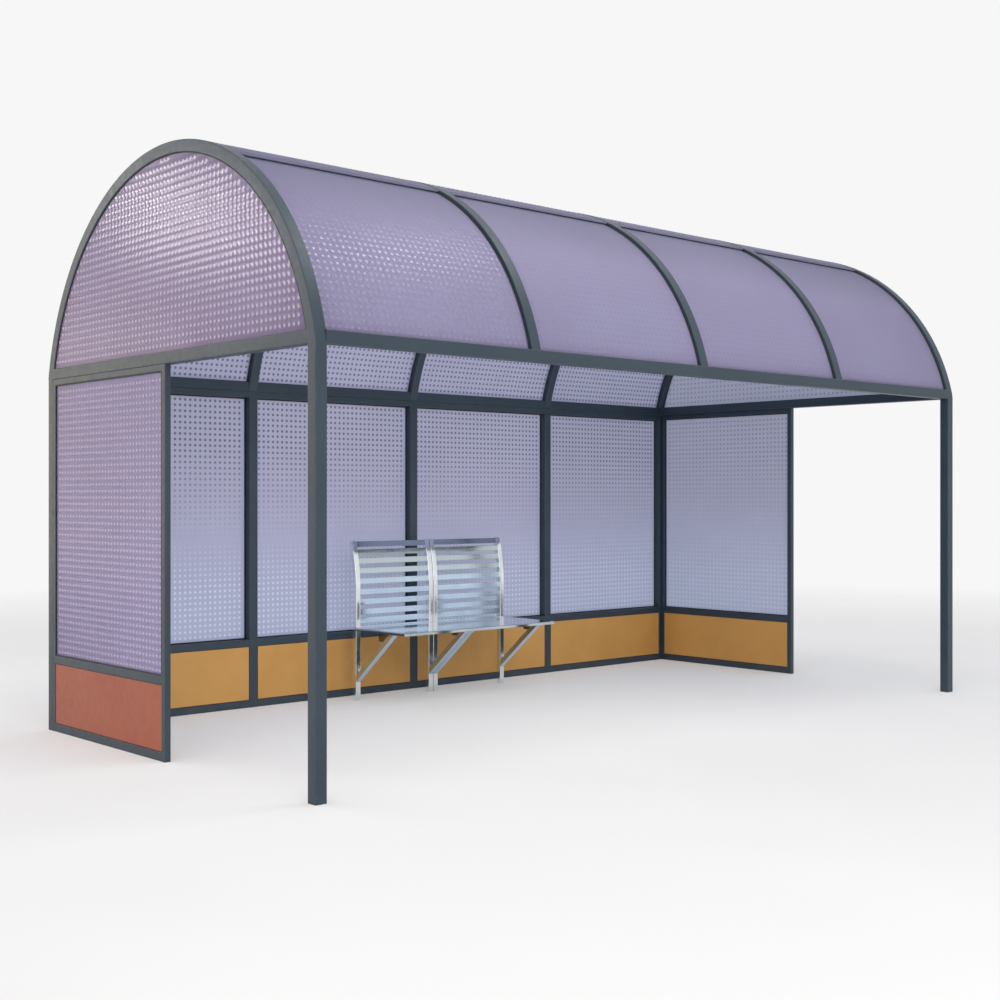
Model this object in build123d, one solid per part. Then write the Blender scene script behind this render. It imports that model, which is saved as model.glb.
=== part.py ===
from build123d import *
import math
import os

# Barrel-vault shelter: length runs along X, the open front faces -Y, the floor is z = 0.
# All sizes are in millimetres.

# --- main frame -------------------------------------------------------------------------
PITCH = 1364.0            # spacing of the arches and the rear posts
BAYS = 4
DEPTH = 2800.0            # outside of the front posts to outside of the rear posts
EAVE_UNDERSIDE = 2100.0   # clear height under the beams, also the top of every post
TUBE = 65.0               # square tube of posts, beams and arches
WALL = 3.0                # its wall
FOOT = 5.0                # plate that closes the foot of a post
SPRING_LIFT = 25.0        # above the beams' underside the vault leaves the outer face of the posts
RISE = 1138.0             # from there to the highest point of the vault
FIT = 0.3                 # running clearance between a curved face and what it seats on

# --- glazing and lower panels -----------------------------------------------------------
SHEET = 6.0               # embossed sheet
SHEET_INSET = 5.0         # sheet face behind the outer face of the wall frame
ROOF_INSET = 18.0         # slope sheet below the outer face of the arches
CROWN_ANGLE = 26.2        # half angle of the crown sheet, from the vertical
CROWN_LIP = 6.0           # turned-down long edge of the crown sheet
CROWN_LAP = 40.0          # how far a slope sheet runs up under the crown sheet
RAIL_BOTTOM_TOP = 49.0    # top of the bottom rail
RAIL_MID_BASE = 405.0
RAIL_MID_TOP = 452.0
REAR_HEAD = 42.0          # head rail of the rear wall, under the beam
RAIL_WALL = 2.5
SKIN = 12.0               # skin of a lower panel
SKIN_INSET = 3.0          # skin face behind the frame face

# --- half-depth end screens -------------------------------------------------------------
SCREEN_DEPTH = 35.0       # frame thickness, along X
SCREEN_POST = 38.0        # width of the free post, along Y
SCREEN_STILE = 30.0
SCREEN_HEAD = 35.0
SEAM = 0.3                # joint gap between members of one screen

# --- bench ------------------------------------------------------------------------------
BENCH_WIDTH = 1374.0      # over the outer uprights
UPRIGHT = 40.0            # upright and brace, along X
UPRIGHT_DEPTH = 36.0
BENCH_WALL = 2.0          # wall of uprights and braces
BENCH_CAP = 3.0           # plate that closes an upright at its foot and top
UPRIGHT_GAP = 3.0         # between the two middle uprights
BENCH_STANDOFF = 223.0    # front face of the uprights before the inside of the rear wall
BACK_BEND = 760.0         # height where an upright starts to curve back
BACK_RADIUS = 1120.0
BACK_TOP = 1095.0
SEAT_TOP = 500.0
SEAT_DEPTH = 542.0        # front edge of the seat before the front face of the uprights
SEAT_CLEAR = 1.0          # between the outer braces and the end flanges of the seat
SEAT_SHEET = 3.0
SEAT_EDGE = 21.0
SLAT_WIDTH = 40.0
SLAT_THICK = 6.0
SLAT_SINK = 4.0           # slat face behind the front face of the uprights
SLAT_DROP = 29.0          # lowest slat starts this far below the seat top
SLAT_HEAD = 3.0           # highest slat ends this far below the end of the uprights
SLAT_GAPS = (16, 21, 28, 28, 34, 32, 28, 21, 18)  # from the lowest up, shared out over the free length
BRACE_FOOT = 127.0        # height where the lower face of a brace meets the upright
BRACE_REACH = 422.0       # how far before the upright it meets the seat
LUG_LENGTH = 42.0
LUG_DROP = 52.0

# --- derived ----------------------------------------------------------------------------
HALF = DEPTH / 2
LENGTH = BAYS * PITCH + TUBE
END = LENGTH / 2
BEAM_TOP = EAVE_UNDERSIDE + TUBE
APEX_HEIGHT = EAVE_UNDERSIDE + SPRING_LIFT + RISE
VAULT_R = (HALF ** 2 + RISE ** 2) / (2 * RISE)
VAULT_Z = APEX_HEIGHT - VAULT_R
VAULT_IN = VAULT_R - TUBE
ARCH_X = [(i - BAYS / 2) * PITCH for i in range(BAYS + 1)]
REAR_IN = HALF - TUBE
SHEET_IN = HALF - SHEET_INSET - SHEET
BENCH_FRONT = REAR_IN - BENCH_STANDOFF
SEAT_FRONT = BENCH_FRONT - SEAT_DEPTH
SLATS = len(SLAT_GAPS) + 1

os.makedirs("parts", exist_ok=True)


def block(x0, x1, y0, y1, z0, z1):
    """Box between two corners."""
    size = (x1 - x0, y1 - y0, z1 - z0)
    centre = ((x0 + x1) / 2, (y0 + y1) / 2, (z0 + z1) / 2)
    return Pos(*centre) * Box(*size)


def tube_x(x0, x1, y0, y1, z0, z1, wall):
    """Rectangular tube along X, open at both ends."""
    bore = block(x0 - 1, x1 + 1, y0 + wall, y1 - wall, z0 + wall, z1 - wall)
    return block(x0, x1, y0, y1, z0, z1) - bore


def tube_y(x0, x1, y0, y1, z0, z1, wall):
    """Rectangular tube along Y, open at both ends."""
    bore = block(x0 + wall, x1 - wall, y0 - 1, y1 + 1, z0 + wall, z1 - wall)
    return block(x0, x1, y0, y1, z0, z1) - bore


def post(x0, x1, y0, y1, top, wall):
    """Upright tube with a closed foot and an open top."""
    bore = block(x0 + wall, x1 - wall, y0 + wall, y1 - wall, FOOT, top + 1)
    return block(x0, x1, y0, y1, 0, top) - bore


def vault_point(radius, angle):
    """Point of the vault circle, the angle counted from the vertical towards the front."""
    a = math.radians(angle)
    return (-radius * math.sin(a), VAULT_Z + radius * math.cos(a))


def ring_sector(r_in, r_out, a0, a1, x0, x1):
    """Curved plate of the vault between two radii and two angles, extruded along X."""
    mid = (a0 + a1) / 2
    outline = [
        Line(vault_point(r_in, a0), vault_point(r_out, a0)),
        ThreePointArc(vault_point(r_out, a0), vault_point(r_out, mid), vault_point(r_out, a1)),
        Line(vault_point(r_out, a1), vault_point(r_in, a1)),
        ThreePointArc(vault_point(r_in, a1), vault_point(r_in, mid), vault_point(r_in, a0)),
    ]
    face = Plane.YZ.offset(x0) * make_face(outline)
    return extrude(face, x1 - x0, dir=(1, 0, 0))


def above(height, shape):
    """What lies over a level and inside the depth of the frame."""
    keep = block(-2 * END, 2 * END, -HALF, HALF, height, 2 * APEX_HEIGHT)
    return shape & keep


def save(name, *shapes):
    """Write one node, every solid of it kept apart."""
    solids = []
    for shape in shapes:
        solids.extend(shape.solids())
    node = solids[0] if len(solids) == 1 else Compound(children=solids)
    export_step(node, "parts/" + name + ".step")


def clear_bay(i):
    """X range between the side faces of two neighbouring arches."""
    return ARCH_X[i] + TUBE / 2, ARCH_X[i + 1] - TUBE / 2


# --- posts ------------------------------------------------------------------------------
def square_post(x, y):
    h = TUBE / 2
    return post(x - h, x + h, y - h, y + h, EAVE_UNDERSIDE, WALL)


save("post_front_left", square_post(ARCH_X[0], -HALF + TUBE / 2))
save("post_front_right", square_post(ARCH_X[-1], -HALF + TUBE / 2))
for i, x in enumerate(ARCH_X):
    save("post_rear_%d" % (i + 1), square_post(x, HALF - TUBE / 2))


# --- arches: bent square tube, cut level at the feet --------------------------------------
FRONT_FOOT = [EAVE_UNDERSIDE] + [BEAM_TOP] * (BAYS - 1) + [EAVE_UNDERSIDE]


def arch(x, front_foot):
    h = TUBE / 2
    b = h - WALL
    bar = ring_sector(VAULT_IN, VAULT_R, -100, 100, x - h, x + h)
    bore = ring_sector(VAULT_IN + WALL, VAULT_R - WALL, -102, 102, x - b, x + b)
    body = above(EAVE_UNDERSIDE, bar - bore)
    if front_foot > EAVE_UNDERSIDE:
        body = body - block(x - TUBE, x + TUBE, -HALF - 1, 0, 0, front_foot)
    return body


for i, x in enumerate(ARCH_X):
    save("arch_%d" % (i + 1), arch(x, FRONT_FOOT[i]))

# --- eave beams and end tie beams -------------------------------------------------------
inner_left = ARCH_X[0] + TUBE / 2
inner_right = ARCH_X[-1] - TUBE / 2
save("eave_beam_front",
     tube_x(inner_left, inner_right, -HALF, -HALF + TUBE, EAVE_UNDERSIDE, BEAM_TOP, WALL))
save("eave_beam_rear",
     *[tube_x(*clear_bay(i), REAR_IN, HALF, EAVE_UNDERSIDE, BEAM_TOP, WALL) for i in range(BAYS)])


def tie_beam(x):
    """Tube between the two feet of an end arch, coped to the inside of its bend."""
    h = TUBE / 2
    bar = tube_y(x - h, x + h, -HALF, HALF, EAVE_UNDERSIDE, BEAM_TOP, WALL)
    cope = Pos(x, 0, VAULT_Z) * Rot(0, 90, 0) * Cylinder(VAULT_IN - FIT, 2 * TUBE)
    return bar & cope


save("tie_beam_left", tie_beam(ARCH_X[0]))
save("tie_beam_right", tie_beam(ARCH_X[-1]))

# --- roof sheets ------------------------------------------------------------------------
SLOPE_OUT = VAULT_R - ROOF_INSET
LAP_ANGLE = math.degrees(CROWN_LAP / VAULT_R)
LIP_ANGLE = math.degrees(CROWN_LIP / VAULT_R)


def slope_sheet(i, side):
    x0, x1 = clear_bay(i)
    sector = ring_sector(SLOPE_OUT - SHEET, SLOPE_OUT, CROWN_ANGLE - LAP_ANGLE, 90, x0, x1)
    sheet = above(BEAM_TOP, sector)
    return sheet if side < 0 else mirror(sheet, about=Plane.XZ)


def crown_sheet(i):
    x0, x1 = clear_bay(i)
    body = ring_sector(VAULT_R - SHEET, VAULT_R, -CROWN_ANGLE, CROWN_ANGLE, x0, x1)
    lip = ring_sector(SLOPE_OUT + FIT, VAULT_R, CROWN_ANGLE - LIP_ANGLE, CROWN_ANGLE, x0, x1)
    return body + lip + mirror(lip, about=Plane.XZ)


for i in range(BAYS):
    save("roof_slope_sheets_%d" % (i + 1), slope_sheet(i, -1), slope_sheet(i, 1))
    save("roof_crown_sheet_%d" % (i + 1), crown_sheet(i))


def tympanum(x0):
    disc = Pos(x0 + SHEET / 2, 0, VAULT_Z) * Rot(0, 90, 0) * Cylinder(VAULT_IN - FIT, SHEET)
    return above(BEAM_TOP, disc)


save("tympanum_left", tympanum(-END + SHEET_INSET))
save("tympanum_right", tympanum(END - SHEET_INSET - SHEET))

# --- rear wall --------------------------------------------------------------------------
HEAD_BASE = EAVE_UNDERSIDE - REAR_HEAD
bays = [clear_bay(i) for i in range(BAYS)]
save("rear_head_rails",
     *[tube_x(a, b, REAR_IN, HALF, HEAD_BASE, EAVE_UNDERSIDE, RAIL_WALL) for a, b in bays])
save("rear_mid_rails",
     *[tube_x(a, b, REAR_IN, HALF, RAIL_MID_BASE, RAIL_MID_TOP, RAIL_WALL) for a, b in bays])
save("rear_bottom_rails",
     *[tube_x(a, b, REAR_IN, HALF, 0, RAIL_BOTTOM_TOP, RAIL_WALL) for a, b in bays])
for i, (a, b) in enumerate(bays):
    save("rear_sheet_%d" % (i + 1),
         block(a, b, SHEET_IN, SHEET_IN + SHEET, RAIL_MID_TOP, HEAD_BASE))
skin_in = REAR_IN + SKIN_INSET
skin_out = HALF - SKIN_INSET
save("rear_kick_inner",
     *[block(a, b, skin_in, skin_in + SKIN, RAIL_BOTTOM_TOP, RAIL_MID_BASE) for a, b in bays])
save("rear_kick_outer",
     *[block(a, b, skin_out - SKIN, skin_out, RAIL_BOTTOM_TOP, RAIL_MID_BASE) for a, b in bays])

# --- end screens ------------------------------------------------------------------------
SCREEN_IN = END - SCREEN_DEPTH
POST_BACK = SCREEN_POST / 2
STILE_FRONT = REAR_IN - SCREEN_STILE
SCREEN_TOP = EAVE_UNDERSIDE - SCREEN_HEAD


def to_left(shape):
    return mirror(shape, about=Plane.YZ)


def screen_frame():
    """Free post, stile at the corner post and three rails, as on the right-hand end."""
    free_post = post(SCREEN_IN, END, -POST_BACK, POST_BACK, EAVE_UNDERSIDE, RAIL_WALL)
    stile = post(SCREEN_IN, END, STILE_FRONT, REAR_IN, EAVE_UNDERSIDE, RAIL_WALL)
    levels = [(0, RAIL_BOTTOM_TOP), (RAIL_MID_BASE, RAIL_MID_TOP), (SCREEN_TOP, EAVE_UNDERSIDE)]
    y0 = POST_BACK + SEAM
    y1 = STILE_FRONT - SEAM
    rails = [tube_y(SCREEN_IN, END, y0, y1, z0, z1, RAIL_WALL) for z0, z1 in levels]
    return [free_post, stile] + rails


def screen_panel(x0, thick, z0, z1):
    return block(x0, x0 + thick, POST_BACK, STILE_FRONT, z0, z1)


frame = screen_frame()
save("screen_frame_right", *frame)
save("screen_frame_left", *[to_left(s) for s in frame])
sheet = screen_panel(END - SHEET_INSET - SHEET, SHEET, RAIL_MID_TOP, SCREEN_TOP)
save("end_sheet_right", sheet)
save("end_sheet_left", to_left(sheet))
kick_in = screen_panel(SCREEN_IN + SKIN_INSET, SKIN, RAIL_BOTTOM_TOP, RAIL_MID_BASE)
kick_out = screen_panel(END - SKIN_INSET - SKIN, SKIN, RAIL_BOTTOM_TOP, RAIL_MID_BASE)
save("end_kick_inner", kick_in, to_left(kick_in))
save("end_kick_outer", kick_out, to_left(kick_out))

# --- bench ------------------------------------------------------------------------------
BACK_SWEEP = math.degrees(math.asin((BACK_TOP - BACK_BEND) / BACK_RADIUS))
half_bench = BENCH_WIDTH / 2
middle = UPRIGHT_GAP / 2
UPRIGHT_X = [-half_bench, -middle - UPRIGHT, middle, half_bench - UPRIGHT]


def back_point(offset, angle):
    """Point of the curved back, the offset counted behind the front face."""
    a = math.radians(angle)
    r = BACK_RADIUS - offset
    return (BENCH_FRONT + BACK_RADIUS - r * math.cos(a), BACK_BEND + r * math.sin(a))


def upright_profile(a, b, foot, s):
    """Side view of an upright between two depths, from a height to an angle of the back."""
    outline = [
        Line((BENCH_FRONT + a, foot), (BENCH_FRONT + a, BACK_BEND)),
        ThreePointArc(back_point(a, 0), back_point(a, s / 2), back_point(a, s)),
        Line(back_point(a, s), back_point(b, s)),
        ThreePointArc(back_point(b, s), back_point(b, s / 2), back_point(b, 0)),
        Line((BENCH_FRONT + b, BACK_BEND), (BENCH_FRONT + b, foot)),
        Line((BENCH_FRONT + b, foot), (BENCH_FRONT + a, foot)),
    ]
    return make_face(outline)


def upright(x0):
    w = BENCH_WALL
    cap_angle = math.degrees(BENCH_CAP / BACK_RADIUS)
    side = upright_profile(0, UPRIGHT_DEPTH, 0, BACK_SWEEP)
    bore_side = upright_profile(w, UPRIGHT_DEPTH - w, BENCH_CAP, BACK_SWEEP - cap_angle)
    body = extrude(Plane.YZ.offset(x0) * side, UPRIGHT, dir=(1, 0, 0))
    return body - extrude(Plane.YZ.offset(x0 + w) * bore_side, UPRIGHT - 2 * w, dir=(1, 0, 0))


save("bench_uprights", *[upright(x) for x in UPRIGHT_X])


def slat(x0, x1, k):
    """One flat bar of the back, turned to follow the curve of the uprights."""
    lowest = SEAT_TOP - SLAT_DROP
    highest = BACK_BEND + BACK_RADIUS * math.radians(BACK_SWEEP) - SLAT_HEAD
    free = highest - lowest - SLATS * SLAT_WIDTH
    below = free * sum(SLAT_GAPS[:k]) / sum(SLAT_GAPS)
    along = lowest + (k + 0.5) * SLAT_WIDTH + below - BACK_BEND
    depth = SLAT_SINK + SLAT_THICK / 2
    if along <= 0:
        y, z, turn = BENCH_FRONT + depth, BACK_BEND + along, 0.0
    else:
        turn = math.degrees(along / BACK_RADIUS)
        y, z = back_point(depth, turn)
    bar = Box(x1 - x0, SLAT_THICK, SLAT_WIDTH)
    return Pos((x0 + x1) / 2, y, z) * Rot(-turn, 0, 0) * bar


left_slats = [slat(UPRIGHT_X[0] + UPRIGHT, UPRIGHT_X[1], k) for k in range(SLATS)]
right_slats = [slat(UPRIGHT_X[2] + UPRIGHT, UPRIGHT_X[3], k) for k in range(SLATS)]
save("bench_slats_left", *left_slats)
save("bench_slats_right", *right_slats)


def seat():
    """Folded tray: a flat top with its four edges turned down."""
    x = half_bench + SEAT_CLEAR + SEAT_SHEET
    t = SEAT_SHEET
    base = SEAT_TOP - SEAT_EDGE
    tray = block(-x, x, SEAT_FRONT, BENCH_FRONT, base, SEAT_TOP)
    return tray - block(-x + t, x - t, SEAT_FRONT + t, BENCH_FRONT - t, base - 1, SEAT_TOP - t)


save("bench_seat", seat())

UNDER = SEAT_TOP - SEAT_EDGE
SLOPE = (UNDER - BRACE_FOOT) / BRACE_REACH
STEEPNESS = math.hypot(1, SLOPE)
SEAT_SOFFIT = SEAT_TOP - SEAT_SHEET
BRACE_SPAN = UPRIGHT * STEEPNESS / SLOPE


def brace_profile(near, far, beyond):
    """Side view of a brace between two distances from its lower face, drawn out beyond both ends."""
    low, high = near * STEEPNESS, far * STEEPNESS
    y0 = BENCH_FRONT + beyond
    y1 = BENCH_FRONT - (SEAT_SOFFIT + beyond - BRACE_FOOT) / SLOPE
    corners = [(y0, BRACE_FOOT + low - beyond * SLOPE), (y0, BRACE_FOOT + high - beyond * SLOPE),
               (y1 + high / SLOPE, SEAT_SOFFIT + beyond), (y1 + low / SLOPE, SEAT_SOFFIT + beyond)]
    return make_face([Line(corners[k], corners[(k + 1) % 4]) for k in range(4)])


def brace(x0):
    """Diagonal tube from the face of an upright to the inside of the seat tray."""
    w = BENCH_WALL
    bar = extrude(Plane.YZ.offset(x0) * brace_profile(0, UPRIGHT, 0), UPRIGHT, dir=(1, 0, 0))
    bore = Plane.YZ.offset(x0 + w) * brace_profile(w, UPRIGHT - w, 1)
    return bar - extrude(bore, UPRIGHT - 2 * w, dir=(1, 0, 0))


save("bench_braces", *[brace(x) for x in UPRIGHT_X])


def lug(x0):
    """Small bracket in the corner between the upper face of a brace and the seat."""
    low = UNDER - LUG_DROP

    def behind_brace(z):
        return BENCH_FRONT - (z - BRACE_FOOT) / SLOPE + BRACE_SPAN + FIT

    corners = [(behind_brace(SEAT_SOFFIT), SEAT_SOFFIT), (behind_brace(low), low),
               (behind_brace(low) + LUG_LENGTH, low),
               (behind_brace(low) + LUG_LENGTH, SEAT_SOFFIT)]
    edges = [Line(corners[k], corners[(k + 1) % 4]) for k in range(4)]
    return extrude(Plane.YZ.offset(x0) * make_face(edges), UPRIGHT, dir=(1, 0, 0))


save("bench_lugs", *[lug(x) for x in UPRIGHT_X])
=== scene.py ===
import math

import bpy
import numpy as np
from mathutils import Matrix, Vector


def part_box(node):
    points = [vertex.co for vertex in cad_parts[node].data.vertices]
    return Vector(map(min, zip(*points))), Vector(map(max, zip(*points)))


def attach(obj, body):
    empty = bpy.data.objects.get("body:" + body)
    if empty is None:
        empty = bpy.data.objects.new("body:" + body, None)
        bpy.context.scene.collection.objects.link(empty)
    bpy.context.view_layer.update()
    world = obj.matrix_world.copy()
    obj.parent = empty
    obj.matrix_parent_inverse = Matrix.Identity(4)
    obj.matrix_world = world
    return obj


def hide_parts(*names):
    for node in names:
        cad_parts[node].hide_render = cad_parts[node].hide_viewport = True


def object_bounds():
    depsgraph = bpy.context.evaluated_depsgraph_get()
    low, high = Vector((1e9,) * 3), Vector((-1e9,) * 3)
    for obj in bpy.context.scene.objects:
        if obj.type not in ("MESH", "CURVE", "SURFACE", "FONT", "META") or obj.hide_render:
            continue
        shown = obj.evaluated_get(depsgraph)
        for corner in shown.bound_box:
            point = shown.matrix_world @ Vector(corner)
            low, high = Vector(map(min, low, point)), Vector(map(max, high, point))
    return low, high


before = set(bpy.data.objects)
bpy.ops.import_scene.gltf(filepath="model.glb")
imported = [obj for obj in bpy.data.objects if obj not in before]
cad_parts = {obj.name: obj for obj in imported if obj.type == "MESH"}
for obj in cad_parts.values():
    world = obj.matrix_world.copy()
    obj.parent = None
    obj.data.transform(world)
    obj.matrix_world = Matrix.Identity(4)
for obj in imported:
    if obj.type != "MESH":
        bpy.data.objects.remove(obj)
cad_low, cad_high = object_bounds()

# Barrel-vault waiting shelter. Metres, +X along the length, -Y out of the open front, +Z up.

# --- sizes read from the frame ---
X, Y, Z = 0, 1, 2
post_low, post_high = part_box("post_front_left")
TUBE = post_high[X] - post_low[X]
EAVE = post_high[Z]
BEAM_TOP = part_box("eave_beam_front")[1][Z]
HALF = cad_high[Y]
APEX = cad_high[Z]
BAYS = 4
ARCH_X = [sum(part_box("arch_%d" % (i + 1))[k][X] for k in (0, 1)) / 2 for i in range(BAYS + 1)]

# --- sizes that the boxes don't give ---
SPRING_HEIGHT = 2.125      # where the vault leaves the outer face of the posts
VAULT_R = (HALF ** 2 + (APEX - SPRING_HEIGHT) ** 2) / (2 * (APEX - SPRING_HEIGHT))
VAULT_Z = APEX - VAULT_R
VAULT_IN = VAULT_R - TUBE
TUBE_ROUND = 0.005         # rounded edges of the big tubes
RAIL_ROUND = 0.003         # rounded edges of the rails and screen members
SEAL_WIDTH = 0.007         # rubber seal round a sheet or a panel
SEAL_PROUD = 0.004
PANEL_GAP = 0.003          # between a lower panel and its frame

# --- camera ---
CAMERA_PLACE = (-6.3913, -6.6484, 1.3995)
CAMERA_HEADING = 42.201    # degrees from +Y towards +X, level
LENS = 50.28
LENS_SHIFT = -0.0032

camera_data = bpy.data.cameras.new("camera")
camera_data.lens = LENS
camera_data.sensor_width = 36.0
camera_data.shift_y = LENS_SHIFT
camera = bpy.data.objects.new("camera", camera_data)
camera.location = CAMERA_PLACE
camera.rotation_euler = (math.radians(90), 0, -math.radians(CAMERA_HEADING))
bpy.context.scene.collection.objects.link(camera)
bpy.context.scene.camera = camera


# --- meshes from arrays ---
CREASE = math.radians(35)  # edges that turn more than this are sharp


def mesh_object(name, points, faces, edge=None, level_flats=False):
    """Object from points (n, 3) and a list of index arrays (m, corners), one array for each face size.

    edge is a number for each point: 1 on a rounded edge or a raised crown, -1 in a crown's hollow side.
    level_flats weights the normals by face area, so that flat faces stay flat beside rounded edges.
    """
    mesh = bpy.data.meshes.new(name)
    corners = np.concatenate([f.reshape(-1) for f in faces]).astype(np.int32)
    totals = np.concatenate([np.full(len(f), f.shape[1]) for f in faces]).astype(np.int32)
    starts = np.concatenate([[0], np.cumsum(totals)[:-1]]).astype(np.int32)
    mesh.vertices.add(len(points))
    mesh.vertices.foreach_set("co", np.ascontiguousarray(points, np.float32).reshape(-1))
    mesh.loops.add(len(corners))
    mesh.loops.foreach_set("vertex_index", corners)
    mesh.polygons.add(len(totals))
    mesh.polygons.foreach_set("loop_start", starts)
    mesh.polygons.foreach_set("loop_total", totals)
    mesh.update(calc_edges=True)
    mesh.polygons.foreach_set("use_smooth", np.ones(len(totals), bool))
    mesh.set_sharp_from_angle(angle=CREASE)
    if edge is not None:
        layer = mesh.attributes.new("edge", "FLOAT", "POINT")
        layer.data.foreach_set("value", np.ascontiguousarray(edge, np.float32))
    mesh.validate()
    obj = bpy.data.objects.new(name, mesh)
    bpy.context.scene.collection.objects.link(obj)
    if level_flats:
        weighted = obj.modifiers.new("level flats", "WEIGHTED_NORMAL")
        weighted.keep_sharp = True
    return obj


def outward(points, faces):
    """The faces of a closed form, all turned round if the volume inside them comes out negative.

    The volume is a sixth of the sum of p0 . (p1 x p2) over the triangles that fan out of each face.
    """
    volume = 0.0
    for f in faces:
        corner = points[f]
        for k in range(1, f.shape[1] - 1):
            cross = np.cross(corner[:, k], corner[:, k + 1])
            volume += np.einsum("ij,ij->", corner[:, 0], cross)
    return faces if volume > 0 else [f[:, ::-1] for f in faces]


def make_piece(name, forms, material, slot, *nodes, level_flats=True):
    """One piece from closed forms, each its points, faces and edge marks.

    slot, the record's material slot, is not used; nodes are the CAD nodes that the piece stands for.
    """
    by_size = {}
    count = 0
    for points, faces, _ in forms:
        for f in outward(points, faces):
            by_size.setdefault(f.shape[1], []).append(f + count)
        count += len(points)
    obj = mesh_object(name, np.concatenate([form[0] for form in forms]),
                      [np.concatenate(f) for f in by_size.values()],
                      np.concatenate([form[2] for form in forms]), level_flats)
    obj.data.materials.append(material)
    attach(obj, "root")
    if nodes:
        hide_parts(*nodes)


def grid_quads(rows, columns, closed=False):
    """Quads of a grid of rows x columns points; closed joins the last column to the first.

    A quad goes (r, c), (r, c+1), (r+1, c+1), (r+1, c).
    """
    r = np.arange(rows - 1)[:, None]
    c = np.arange(columns if closed else columns - 1)[None, :]
    following = (c + 1) % columns
    quads = np.stack([r * columns + c, r * columns + following,
                      (r + 1) * columns + following, (r + 1) * columns + c], axis=-1)
    return quads.reshape(-1, 4)


def rounded_outline(half_a, half_b, radius, steps=3):
    """Closed outline of a rectangle with quarter-circle corners, anticlockwise.

    Corner k has its centre at (+-(half_a - radius), +-(half_b - radius)), and its points lie at that
    centre plus radius times (cos t, sin t), t running over the k-th quarter turn. Returns the points
    and how far each is into its corner, 0 at the flats and 1 at the middle of the arc.
    """
    k = np.arange(4)[:, None]
    part = np.linspace(0, 1, steps + 1)[None, :]
    t = (k + part) * math.pi / 2
    centre_a = np.array([1, -1, -1, 1])[:, None] * (half_a - radius)
    centre_b = np.array([1, 1, -1, -1])[:, None] * (half_b - radius)
    outline = np.stack([centre_a + radius * np.cos(t), centre_b + radius * np.sin(t)], axis=-1)
    edge = np.broadcast_to(np.sin(part * math.pi), t.shape)
    return outline.reshape(-1, 2), edge.reshape(-1)


def closed_ring(points, edge):
    """Skin of a profile carried round a closed path (sections, outline, 3)."""
    sections, around = points.shape[:2]
    quads = grid_quads(sections + 1, around, closed=True) % (sections * around)
    return points.reshape(-1, 3), [quads], np.tile(edge, sections)


def closed_tube(points, edge):
    """Skin of a bar from its sections (sections, outline, 3): quads along it and a flat end at each end."""
    sections, around = points.shape[:2]
    sides = grid_quads(sections, around, closed=True)
    first = np.arange(around)[::-1][None, :]
    last = (sections - 1) * around + np.arange(around)[None, :]
    return points.reshape(-1, 3), [sides, first, last], np.tile(edge, sections)


def straight_bar(low, high, along, radius, reach=0.0):
    """Rounded bar between two corners, its outline carried along one axis.

    reach carries both ends on into the neighbours, up to where their faces turn flat.
    """
    low, high = np.array(low, float), np.array(high, float)
    a, b = (along + 1) % 3, (along + 2) % 3
    centre, half = (low + high) / 2, (high - low) / 2
    outline, edge = rounded_outline(half[a], half[b], radius)
    ends = np.array([low[along] - reach, high[along] + reach])
    points = np.zeros((2, len(outline), 3))
    points[:, :, along] = ends[:, None]
    points[:, :, a] = centre[a] + outline[:, 0]
    points[:, :, b] = centre[b] + outline[:, 1]
    return closed_tube(points, edge)


# --- materials ---
def wire(tree, kind, inputs=(), output=0, **settings):
    """Adds a shader node: its settings, then a value or a link for each input. Gives one output."""
    made = tree.nodes.new("ShaderNode" + kind)
    for key, value in settings.items():
        setattr(made, key, value)
    for socket, value in dict(inputs).items():
        if isinstance(value, bpy.types.NodeSocket):
            tree.links.new(value, made.inputs[socket])
        else:
            made.inputs[socket].default_value = value
    return made.outputs[output]


class Finish:
    """A Principled material and short ways to add nodes that feed it."""

    def __init__(self, name, **constants):
        self.material = bpy.data.materials.new(name)
        self.material.use_nodes = True
        self.tree = self.material.node_tree
        self.shader = self.tree.nodes["Principled BSDF"]
        for socket, value in constants.items():
            self.shader.inputs[socket.replace("_", " ")].default_value = value
        self.place = self.tree.nodes.new("ShaderNodeTexCoord").outputs["Object"]

    def node(self, *arguments, **settings):
        return wire(self.tree, *arguments, **settings)

    def feed(self, socket, value):
        self.tree.links.new(value, self.shader.inputs[socket])

    def stretched(self, scale):
        """Object coordinates, stretched along the axes."""
        return self.node("Mapping", {"Vector": self.place, "Scale": scale})

    def noise(self, scale, detail=3.0, roughness=0.55, place=None):
        return self.node("TexNoise", {"Vector": place or self.place, "Scale": scale,
                                      "Detail": detail, "Roughness": roughness})

    def spread(self, value, low, high, to_low=0.0, to_high=1.0):
        """Straight line from low..high to to_low..to_high, held inside that range."""
        return self.node("MapRange", {"Value": value, "From Min": low, "From Max": high,
                                      "To Min": to_low, "To Max": to_high})

    def math(self, operation, a, b=0.0):
        return self.node("Math", {0: a, 1: b}, operation=operation)

    def mix(self, share, first, second):
        return self.node("Mix", {0: share, 6: first, 7: second}, output=2, data_type="RGBA")

    def bump(self, height, distance, strength=1.0, normal=None):
        inputs = {"Height": height, "Distance": distance, "Strength": strength}
        if normal is not None:
            inputs["Normal"] = normal
        return self.node("Bump", inputs)

    def level(self):
        """Height above the floor."""
        return self.node("SeparateXYZ", {0: self.place}, output=2)

    def edge(self):
        """The piece's own mark: rounded edges on a bar, dimples on a sheet."""
        return self.node("Attribute", output=2, attribute_name="edge")


def shade(red, green, blue):
    return (red, green, blue, 1.0)


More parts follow.
